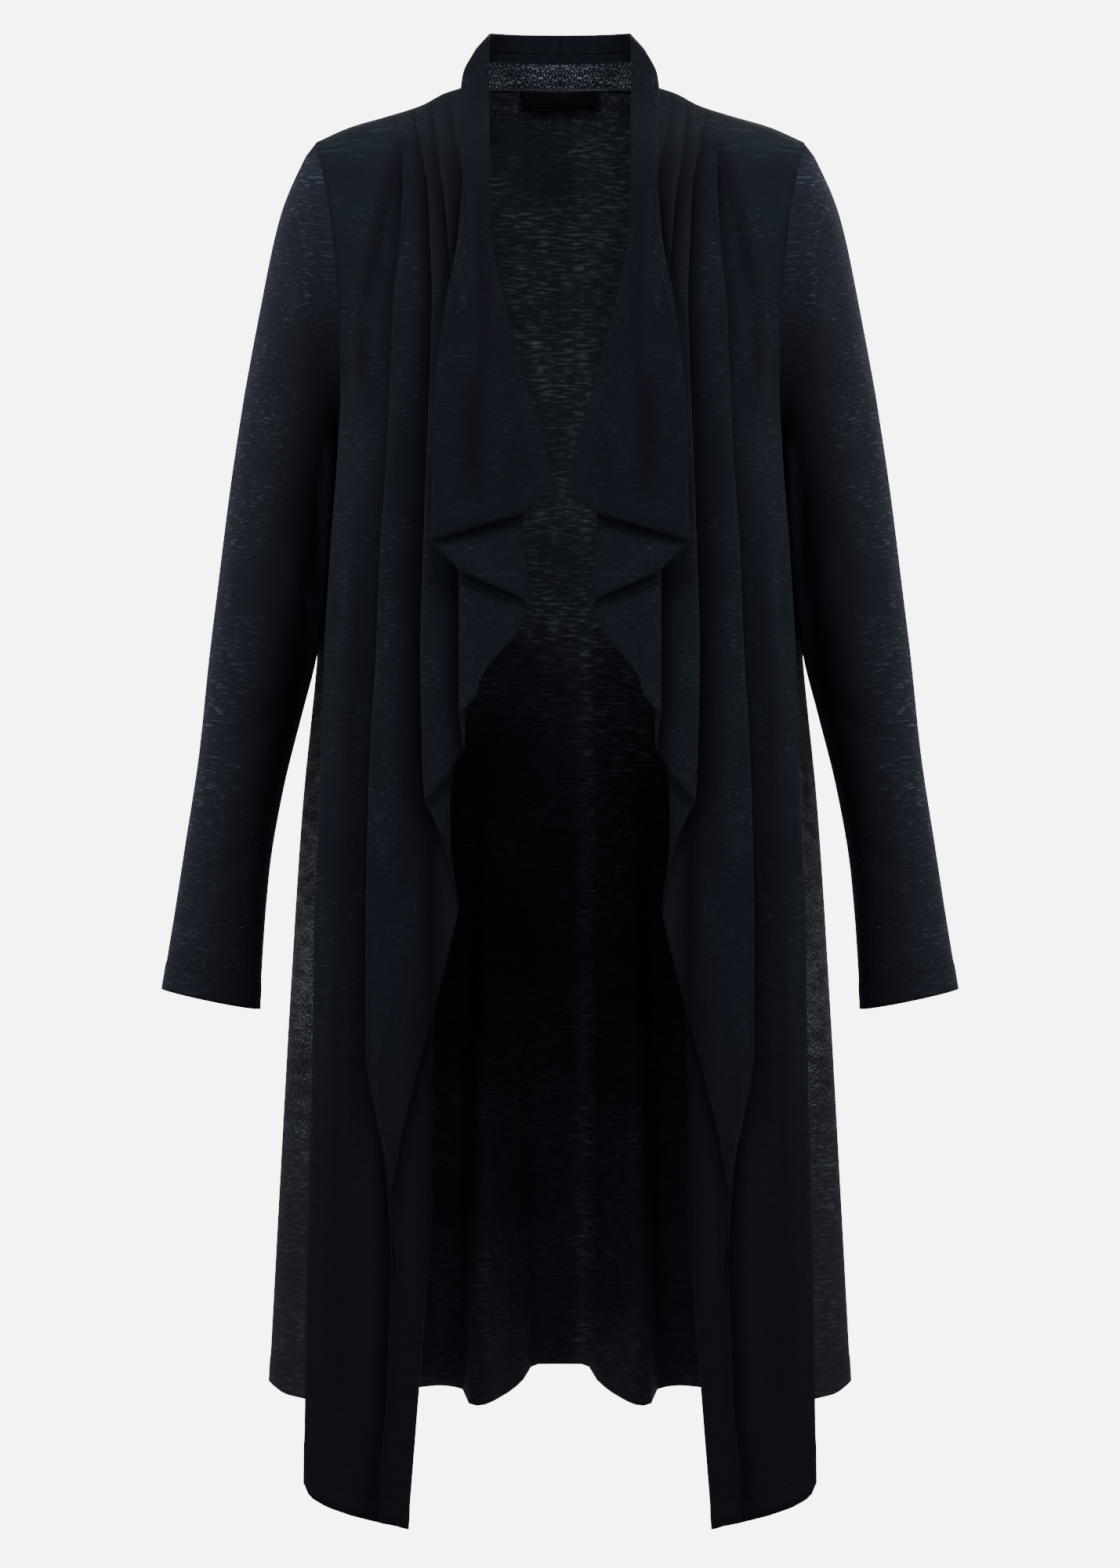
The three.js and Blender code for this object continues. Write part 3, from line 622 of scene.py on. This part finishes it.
def makeBack(name, material):
    half = backHalf()
    turned = [column * np.array([-1, 1, 1]) for column in half]
    points = np.concatenate(turned + half[-2::-1])
    columns = 2 * back["half"] + 1
    rows = back["rows"]
    faces = gridFaces(columns, rows)
    across, down = runLength(points, columns, rows)
    hemDistance = down[:, -1:] - down
    uv = np.stack([across.ravel() - across[back["half"]].mean(), points[:, 2]], axis=1) * mm
    normals = surfaceNormals(points, faces)
    flat = np.abs(normals[:, 1])
    calm = smooth(0, back["calmDrop"], down.ravel())
    points = points + normals * (crease(points, backCreases) * flat * calm)[:, None]
    sideShare = np.abs(np.arange(columns) / back["half"] - 1)
    sheer = np.repeat(smooth(*back["sheerAcross"], sideShare) * back["sheerSide"], rows)
    hemThick = thickness(hemDistance.ravel(), back["hemWidth"]) / 2
    # painted highlight along a fold near the centre back, painted shade low down, and a set tone towards the
    # side seams; the same mask sets how much light yarn shows
    foldHighlight = np.exp(-((points[:, 0] - back["foldHighlightOut"]) / back["foldHighlightWidth"]) ** 2)
    airy = mix(back["lowShadeLevel"], 1, smooth(*back["lowShadeFade"], points[:, 2])) + foldHighlight * back["foldHighlightTone"]
    airy = mix(airy, back["sideSeamTone"], np.repeat(smooth(*back["sideSeamToneAcross"], sideShare), rows))
    sheer *= 1 - smooth(*back["sheerTop"], points[:, 2])
    sheer *= mix(back["sheerHem"], 1, smooth(*back["sheerLow"], points[:, 2]))
    nearNeck = smooth(back["neckSheerLow"], 0, points[:, 2]) * (np.abs(points[:, 0]) < seams["neckHalfWidth"])
    sheer = np.maximum(sheer, nearNeck * back["sheerNeck"])
    marks = {"hemDistance": hemDistance.ravel() * mm, "sheer": sheer, "airy": airy}
    piece = clothObject(name, points, faces, hemThick, uv, marks, material)
    print(name, "made,", len(faces) * 4, "triangles")
    return piece


# Sleeves: rings from the armhole to the cuff
sleeve = {
    "sides": 84,
    "rings": 150,
    "ringSpan": (-1, 10),
    "underarmClearance": 0.6,
    "clearanceEase": 4,
    "hemWidth": 18,
    "calmDrop": 10,
    "faceGain": 1.4,
    "rearDrop": 26,
    "sheerRings": (4.5, 8.5),
    "sheerLow": 0.4,
    "sheerLeast": 0.12,
    # painted shade on the inner side of the sleeve
    "innerShade": -0.5,
    "rowsAlong": (-0.144, 0, 0.99),
}
sleeveRings = table("ring outerOut outerUp innerOut innerUp halfDeep midDeep", [
    (0, 186, -58, 154, -270, 68, 6), (1, 201, -100, 156, -282, 66, 6), (2, 211, -160, 158, -302, 62, 6),
    (3, 220, -215, 160, -330, 57, 6), (4, 229, -275, 164, -362, 52, 5), (5, 237, -340, 170, -398, 47, 2),
    (6, 244, -400, 180, -438, 43, -2), (7, 250, -462, 192, -488, 39, -8), (8, 259, -525, 201, -543, 36, -15),
    (9, 267, -580, 205, -596, 33, -22), (10, 274, -625, 207, -639, 31, -28)])
sleeveCap = table("ring blend", [(-1, 1), (0, 0.55), (1, 0.22), (2, 0.06), (3, 0)])
sleeveCreases = [
    ((205, -232), (190, -288), -3.9, 7),
    ((190, -288), (176, -352), -3.4, 7),
    ((212, -200), (196, -262), 2.3, 8),
    ((176, -92), (170, -180), -2.3, 8),
    ((190, -100), (184, -210), 1.8, 10),
    ((222, -300), (186, -372), -2.6, 9),
    ((236, -362), (196, -402), -2.3, 8),
    ((186, -404), (236, -440), 2.0, 8),
    ((244, -430), (204, -470), -2.1, 7),
    ((206, -500), (246, -528), 1.6, 7),
    ((252, -500), (216, -540), -1.7, 7),
    ((262, -560), (226, -590), -1.4, 8),
    ((170, -250), (196, -330), 1.6, 9),
    ((222, -250), (226, -420), -1.3, 10),
]


def armholePoint(turn):
    if turn < 0.5:
        point = curveThrough(seams["armholeFront"], turn * 2)
    else:
        point = curveThrough(seams["armholeBack"], (1 - turn) * 2)
    lowness = (1 - math.cos(turn * 2 * math.pi)) / 2
    point[0] += seams["gap"] * 2 + sleeve["underarmClearance"] * lowness ** sleeve["clearanceEase"]
    return point


def makeSleeve(name, side, material):
    ringPlaces = np.linspace(*sleeve["ringSpan"], sleeve["rings"])
    held = np.maximum(ringPlaces, 0)
    value = {key: read(sleeveRings, "ring", held, key) for key in sleeveRings}
    blend = read(sleeveCap, "ring", ringPlaces, "blend")[:, None]
    points = []
    for i in range(sleeve["sides"]):
        turn = i / sleeve["sides"]
        angle = turn * 2 * math.pi
        outward = (1 + math.cos(angle)) / 2
        ring = np.stack([
            mix(value["innerOut"], value["outerOut"], outward),
            value["midDeep"] - value["halfDeep"] * math.sin(angle),
            mix(value["innerUp"], value["outerUp"], outward)], axis=1)
        points.append(mix(ring, armholePoint(turn), blend))
    points = np.concatenate(points)
    faces = gridFaces(sleeve["sides"], sleeve["rings"], closed=True)
    across, down = runLength(points, sleeve["sides"], sleeve["rings"])
    hemDistance = down[:, -1:] - down
    knitRows = points @ np.array(sleeve["rowsAlong"])                # they lie square to the sleeve
    uv = np.stack([across.ravel(), knitRows], axis=1) * mm
    normals = surfaceNormals(points, faces)
    calm = smooth(0, sleeve["calmDrop"], down.ravel())
    frontal = np.clip(-normals[:, 1] * sleeve["faceGain"], 0, 1)
    rear = np.clip(normals[:, 1] * sleeve["faceGain"], 0, 1)
    raised = points + np.array([0, 0, sleeve["rearDrop"]])
    lift = crease(points, sleeveCreases) * frontal + crease(raised, sleeveCreases) * rear
    points = points + normals * (lift * calm)[:, None]
    ringSheer = smooth(*sleeve["sheerRings"], ringPlaces) * sleeve["sheerLow"] + sleeve["sheerLeast"]
    sheer = np.tile(ringSheer, sleeve["sides"])
    turns = np.arange(sleeve["sides"]) / sleeve["sides"] * 2 * math.pi
    # painted shade on the inner side of the sleeve, towards the body; the same mask sets how much light yarn
    # shows
    airy = np.repeat(mix(sleeve["innerShade"], 1, (1 + np.cos(turns)) / 2), sleeve["rings"])
    hemThick = thickness(hemDistance.ravel(), sleeve["hemWidth"]) / 2
    if side < 0:
        points = points * np.array([-1, 1, 1])
        faces = faces[:, ::-1]
    marks = {"hemDistance": hemDistance.ravel() * mm, "sheer": sheer, "airy": airy}
    piece = clothObject(name, points, faces, hemThick, uv, marks, material)
    print(name, "made,", len(faces) * 4, "triangles")
    return piece


# Bare label under the back neck seam
label = {"half": 27, "drop": 2, "height": 11, "forward": 1.7, "thickness": 0.5, "columns": 40, "rows": 10}


def makeLabel(name, material):
    points = []
    for i in range(label["columns"] + 1):
        out = mix(-label["half"], label["half"], i / label["columns"])
        arc = math.sqrt(1 - (out / seams["neckHalfWidth"]) ** 2)
        for j in range(label["rows"] + 1):
            drop = label["drop"] + label["height"] * j / label["rows"]
            up = seams["neckRise"] * arc - drop
            lean = float(shoulderRound(drop, back["shoulderReach"]))
            deep = mix(backRound(up, 1)[1], seams["neckDepth"] * arc, lean)
            points.append((out, deep - label["forward"], up))
    points = np.array(points)
    columns = label["columns"] + 1
    rows = label["rows"] + 1
    faces = gridFaces(columns, rows)
    across, down = runLength(points, columns, rows)
    uv = np.stack([across.ravel(), -down.ravel()], axis=1) * mm
    half = np.full(len(points), label["thickness"] / 2)
    plain = np.zeros(len(points))
    marks = {"hemDistance": plain + front["farFromHem"] * mm, "sheer": plain, "airy": plain}
    return clothObject(name, points, faces, half, uv, marks, material)


def nodeTools(nodes, links):
    # small nodes in one line each: a socket given is linked, a number or colour is set
    def put(place, value):
        if isinstance(value, bpy.types.NodeSocket):
            links.new(value, place)
        else:
            place.default_value = value

    def maths(operation, first, second, clamp=False):
        node = nodes.new("ShaderNodeMath")
        node.operation = operation
        node.use_clamp = clamp
        put(node.inputs[0], first)
        put(node.inputs[1], second)
        return node.outputs[0]

    def ranged(value, low=0, high=1, toLow=0, toHigh=1):
        node = nodes.new("ShaderNodeMapRange")
        for place, given in enumerate((value, low, high, toLow, toHigh)):
            put(node.inputs[place], given)
        return node.outputs[0]

    def blended(share, first, second):
        node = nodes.new("ShaderNodeMix")
        node.data_type = "RGBA"
        for place, given in ((0, share), (6, first), (7, second)):
            put(node.inputs[place], given)
        return node.outputs[2]

    def marked(name):
        node = nodes.new("ShaderNodeAttribute")
        node.attribute_name = name
        return node.outputs["Fac"]

    return maths, ranged, blended, marked


# Knit pattern shared by the cloth materials. Each noise: scale across, scale along, detail, offset
knitLook = {
    "streaks": (95, 520, 2, 0),        # thick and thin yarn, row by row
    "bursts": (30, 110, 2, 3.1),       # where the slubs gather
    "specks": (1400, 620, 1, 7.7),     # open stitches
    "clouds": (11, 17, 2, 5.3),        # broad light and dark areas
    "stitchesPerMetre": 900,
    "waleTurn": 6.283,
    "rowTurn": 8.2,
    "waleShare": 0.6,
    "rowShare": 0.4,
    "weaveHeight": 0.35,
    "slubGain": 2.6,
    "speckGather": 0.25,
    "cloudFrom": 0.34,
    "cloudGain": 3.2,
}


def knitGroup():
    group = bpy.data.node_groups.new("slubKnit", "ShaderNodeTree")
    for socket, value in (("stitchesPerMetre", knitLook["stitchesPerMetre"]), ("slubLength", 1)):
        made = group.interface.new_socket(socket, in_out="INPUT", socket_type="NodeSocketFloat")
        made.default_value = value
    for socket in ("slub", "height", "flecks", "patches"):
        group.interface.new_socket(socket, in_out="OUTPUT", socket_type="NodeSocketFloat")
    nodes, links = group.nodes, group.links
    maths = nodeTools(nodes, links)[0]
    given = nodes.new("NodeGroupInput")
    result = nodes.new("NodeGroupOutput")
    uv = nodes.new("ShaderNodeUVMap")

    def stretched(scaleU, scaleV, detail, offset):
        mapping = nodes.new("ShaderNodeMapping")
        mapping.inputs["Scale"].default_value = (scaleU, scaleV, 1)
        mapping.inputs["Location"].default_value = (offset, offset * 0.7, 0)
        links.new(uv.outputs[0], mapping.inputs["Vector"])
        noise = nodes.new("ShaderNodeTexNoise")
        noise.inputs["Scale"].default_value = 1
        noise.inputs["Detail"].default_value = detail
        links.new(mapping.outputs[0], noise.inputs["Vector"])
        return noise.outputs[0]

    parts = nodes.new("ShaderNodeSeparateXYZ")
    links.new(uv.outputs[0], parts.inputs[0])
    stitches = given.outputs["stitchesPerMetre"]
    waves = []
    for i, turn, share in ((0, "waleTurn", "waleShare"), (1, "rowTurn", "rowShare")):
        turned = maths("MULTIPLY", parts.outputs[i], maths("MULTIPLY", stitches, knitLook[turn]))
        waves.append(maths("MULTIPLY", maths("SINE", turned, 0), knitLook[share]))
    weave = maths("ADD", waves[0], waves[1])
    bursts = stretched(*knitLook["bursts"])
    streaks = maths("SUBTRACT", stretched(*knitLook["streaks"]), 0.5)
    slub = maths("MULTIPLY", streaks, maths("MULTIPLY", bursts, knitLook["slubGain"]))
    slub = maths("ADD", maths("MULTIPLY", slub, given.outputs["slubLength"]), 0.5, clamp=True)
    height = maths("ADD", maths("MULTIPLY", weave, knitLook["weaveHeight"]), slub)
    gathered = maths("MULTIPLY", maths("SUBTRACT", bursts, 0.5), knitLook["speckGather"])
    flecks = maths("ADD", stretched(*knitLook["specks"]), gathered)
    clouds = maths("SUBTRACT", stretched(*knitLook["clouds"]), knitLook["cloudFrom"])
    patches = maths("MULTIPLY", clouds, knitLook["cloudGain"], clamp=True)
    for place, value in enumerate((slub, height, flecks, patches)):
        links.new(value, result.inputs[place])
    return group


# Every cloth has these unless its own row says otherwise; colours run from deep cloth, which also serves as
# painted shade, to light yarn
clothLook = {
    "slubLength": 1.0,
    "slubRange": (0.56, 0.95),
    "yarnLeast": 0.1,
    "groundLeast": 0.7,
    "shadowLeast": 0.35,
    "bump": 0.5,
    "bumpHeight": 0.0005,
    "sheen": 0.02,
    "sheenRough": 0.25,
    "sheenTint": (0.3, 0.32, 0.55, 1),
    "rough": 0.9,
    "specular": 0.04,
    "stitchAt": 0.014,
    "stitchHalf": 0.0012,
    "stitchDepth": -2.5,
    "seamStep": 0.003,
    "fleckLimit": (0.95, 0.52),
    "fleckSoft": 0.06,
    "seenThroughColour": (0.085, 0.09, 0.105, 1),
}
looks = {
    "frontJersey": {
        "deep": (0.0012, 0.001, 0.0026, 1), "colour": (0.0021, 0.0036, 0.0057, 1),
        "yarn": (0.012, 0.0155, 0.022, 1)},
    # the back copy of the jersey is painted lighter, in colour and yarn, to make up for the shade inside the
    # garment
    "backJerseyLightened": {
        "deep": (0.0013, 0.0011, 0.0028, 1), "colour": (0.008, 0.01, 0.0148, 1),
        "yarn": (0.042, 0.049, 0.06, 1), "slubLength": 1.4, "slubRange": (0.48, 0.95), "bump": 0.7,
        "stitchAt": 0.018},
    "sleeveJersey": {
        "deep": (0.0018, 0.0016, 0.0034, 1), "colour": (0.0036, 0.0052, 0.0078, 1),
        "yarn": (0.026, 0.031, 0.041, 1), "slubLength": 1.2, "bump": 0.6, "sheen": 0.05, "stitchAt": 0.017},
    "labelSatin": {
        "deep": (0.0009, 0.0008, 0.0016, 1), "colour": (0.0009, 0.0008, 0.0016, 1),
        "yarn": (0.0015, 0.0015, 0.0024, 1), "slubLength": 0.2, "bump": 0.2},
}
black = (0, 0, 0, 1)


def clothMaterial(name, group):
    look = {**clothLook, **looks[name]}
    material = bpy.data.materials.new(name)
    material.use_nodes = True
    nodes, links = material.node_tree.nodes, material.node_tree.links
    nodes.clear()
    maths, ranged, blended, marked = nodeTools(nodes, links)
    output = nodes.new("ShaderNodeOutputMaterial")
    shader = nodes.new("ShaderNodeBsdfPrincipled")
    links.new(shader.outputs[0], output.inputs[0])
    knit = nodes.new("ShaderNodeGroup")
    knit.node_tree = group
    knit.inputs["slubLength"].default_value = look["slubLength"]
    slub, height, flecks, patches = knit.outputs
    airy, hem, sheer = marked("airy"), marked("hemDistance"), marked("sheer")

    # light yarn in clusters, scaled by the mask of painted light and shade; a low mask paints shade with the
    # deep colour, and a mask below nought paints deeper shade towards black
    yarn = maths("MULTIPLY", ranged(slub, *look["slubRange"]), airy)
    yarn = maths("MULTIPLY", yarn, ranged(patches, toLow=look["yarnLeast"]))
    shadeAndPatches = maths("MULTIPLY", airy, ranged(patches, toLow=look["groundLeast"]))
    ground = blended(shadeAndPatches, look["deep"], look["colour"])
    ground = blended(ranged(airy, -1, 0, look["shadowLeast"]), black, ground)
    colours = blended(yarn, ground, look["yarn"])

    # pale flecks painted where backdrop light would show through the sheer cloth, none in turned hems
    openness = maths("MULTIPLY", sheer, ranged(hem, look["stitchAt"], look["stitchAt"] + look["seamStep"]))
    limitLow, limitHigh = look["fleckLimit"]
    over = maths("SUBTRACT", flecks, ranged(openness, toLow=limitLow, toHigh=limitHigh))
    colours = blended(ranged(over, high=look["fleckSoft"]), colours, look["seenThroughColour"])
    links.new(colours, shader.inputs["Base Color"])

    # knit relief with a groove along the stitch line
    away = maths("ABSOLUTE", maths("SUBTRACT", hem, look["stitchAt"]), 0)
    groove = ranged(away, 0, look["stitchHalf"], look["stitchDepth"], 0)
    bumps = nodes.new("ShaderNodeBump")
    bumps.inputs["Strength"].default_value = look["bump"]
    bumps.inputs["Distance"].default_value = look["bumpHeight"]
    links.new(maths("ADD", height, groove), bumps.inputs["Height"])
    links.new(bumps.outputs[0], shader.inputs["Normal"])
    shader.inputs["Roughness"].default_value = look["rough"]
    shader.inputs["Specular IOR Level"].default_value = look["specular"]
    shader.inputs["Sheen Weight"].default_value = look["sheen"]
    shader.inputs["Sheen Roughness"].default_value = look["sheenRough"]
    shader.inputs["Sheen Tint"].default_value = look["sheenTint"]
    return material


knit = knitGroup()
cloths = {name: clothMaterial(name, knit) for name in looks}
print("materials made")

pieces = {
    "back": makeBack("backPanel", cloths["backJerseyLightened"]),
    "front_right": makeFront("frontRightPanel", -1, cloths["frontJersey"]),
    "front_left": makeFront("frontLeftPanel", 1, cloths["frontJersey"]),
    "sleeve_right": makeSleeve("sleeveRightTube", -1, cloths["sleeveJersey"]),
    "sleeve_left": makeSleeve("sleeveLeftTube", 1, cloths["sleeveJersey"]),
    "neck_label": makeLabel("neckLabelPlain", cloths["labelSatin"]),
}

# Flat cut of each piece: width, length and area in metres, with what it rests on
cuts = {
    "back": (0.72, 0.95, 0.495, ["front_right", "front_left"]),
    "front_right": (0.53, 1.04, 0.30, ["back"]),
    "front_left": (0.53, 1.04, 0.30, ["back"]),
    "sleeve_right": (0.30, 0.62, 0.136, ["back", "front_right"]),
    "sleeve_left": (0.30, 0.62, 0.136, ["back", "front_left"]),
    "neck_label": (0.055, 0.012, None, ["back"]),
}
for node, piece in pieces.items():
    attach(piece, "root")
    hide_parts(node)
    width, length, area, rests = cuts[node]
    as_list(rests)
    oneSide = sum(polygon.area for polygon in piece.data.polygons) / 2
    print(node, "placed,", round(oneSide, 3), "square metres of cloth")

# Pale floor and soft studio light
stage = {
    "floorUp": -1.3,
    "floorSize": 60,
    "floorTone": (0.8, 0.805, 0.79, 1),
    "paleness": (0.98, 0.985, 0.965, 1),
    "seenStrength": 6.7,
    "lightStrength": 0.65,
    "aimUp": -0.4,
}


def seenPale(nodes, links, shading):
    # the eye sees the same pale tone everywhere, while the cloth gets softer light
    path = nodes.new("ShaderNodeLightPath")
    blend = nodes.new("ShaderNodeMixShader")
    links.new(path.outputs["Is Camera Ray"], blend.inputs[0])
    links.new(shading, blend.inputs[1])
    pale = nodes.new("ShaderNodeEmission")
    pale.inputs[0].default_value = stage["paleness"]
    pale.inputs[1].default_value = stage["seenStrength"]
    links.new(pale.outputs[0], blend.inputs[2])
    return blend.outputs[0]


bpy.ops.mesh.primitive_plane_add(size=stage["floorSize"], location=(0, 0, stage["floorUp"]))
floor = bpy.context.object
floor.name = "studioFloor"
floorPaint = bpy.data.materials.new("studioFloorPaint")
floorPaint.use_nodes = True
floorNodes, floorLinks = floorPaint.node_tree.nodes, floorPaint.node_tree.links
floorShader = floorNodes["Principled BSDF"]
floorShader.inputs["Base Color"].default_value = stage["floorTone"]
floorShader.inputs["Roughness"].default_value = 1
floorShader.inputs["Specular IOR Level"].default_value = 0
floorLinks.new(seenPale(floorNodes, floorLinks, floorShader.outputs[0]),
               floorNodes["Material Output"].inputs[0])
floor.data.materials.append(floorPaint)

world = bpy.data.worlds.new("studioWorld")
world.use_nodes = True
worldNodes, worldLinks = world.node_tree.nodes, world.node_tree.links
sky = worldNodes["Background"]
sky.inputs[0].default_value = stage["paleness"]
sky.inputs[1].default_value = stage["lightStrength"]
worldLinks.new(seenPale(worldNodes, worldLinks, sky.outputs[0]), worldNodes["World Output"].inputs[0])
bpy.context.scene.world = world

lights = [
    {"name": "rightKey", "at": (-1.5, -1.9, 1.3), "size": 0.9, "power": 80},
    {"name": "leftKey", "at": (1.5, -1.9, 1.3), "size": 0.9, "power": 80},
    {"name": "neckLight", "at": (0, -1.7, 1.9), "size": 0.7, "power": 95},
    {"name": "rightSide", "at": (-3.0, 0.2, 0.6), "size": 1.6, "power": 90},
    {"name": "leftSide", "at": (3.0, 0.2, 0.6), "size": 1.6, "power": 90},
    {"name": "backLight", "at": (0.4, 2.6, 1.6), "size": 2.2, "power": 110},
]
for row in lights:
    lamp = bpy.data.lights.new(row["name"], "AREA")
    lamp.size = row["size"]
    lamp.energy = row["power"]
    holder = bpy.data.objects.new(row["name"], lamp)
    bpy.context.collection.objects.link(holder)
    holder.location = row["at"]
    aimX, aimY, aimZ = np.array([0, 0, stage["aimUp"]]) - np.array(row["at"])
    tilt = math.atan2(math.hypot(aimX, aimY), -aimZ)
    holder.rotation_euler = (tilt, 0, math.atan2(aimY, aimX) - math.pi / 2)

# Camera: level, three metres away, at mid height of the garment
view = {"distance": 3.0, "up": -0.484, "halfHeight": 0.5453, "sensor": 24}
camera = bpy.data.cameras.new("frontCamera")
camera.sensor_fit = "VERTICAL"
camera.sensor_height = view["sensor"]
camera.lens = view["sensor"] / 2 * view["distance"] / view["halfHeight"]
cameraHolder = bpy.data.objects.new("frontCamera", camera)
bpy.context.collection.objects.link(cameraHolder)
cameraHolder.location = (0, -view["distance"], view["up"])
cameraHolder.rotation_euler = (math.pi / 2, 0, 0)
bpy.context.scene.camera = cameraHolder
print("stage, light and camera set")
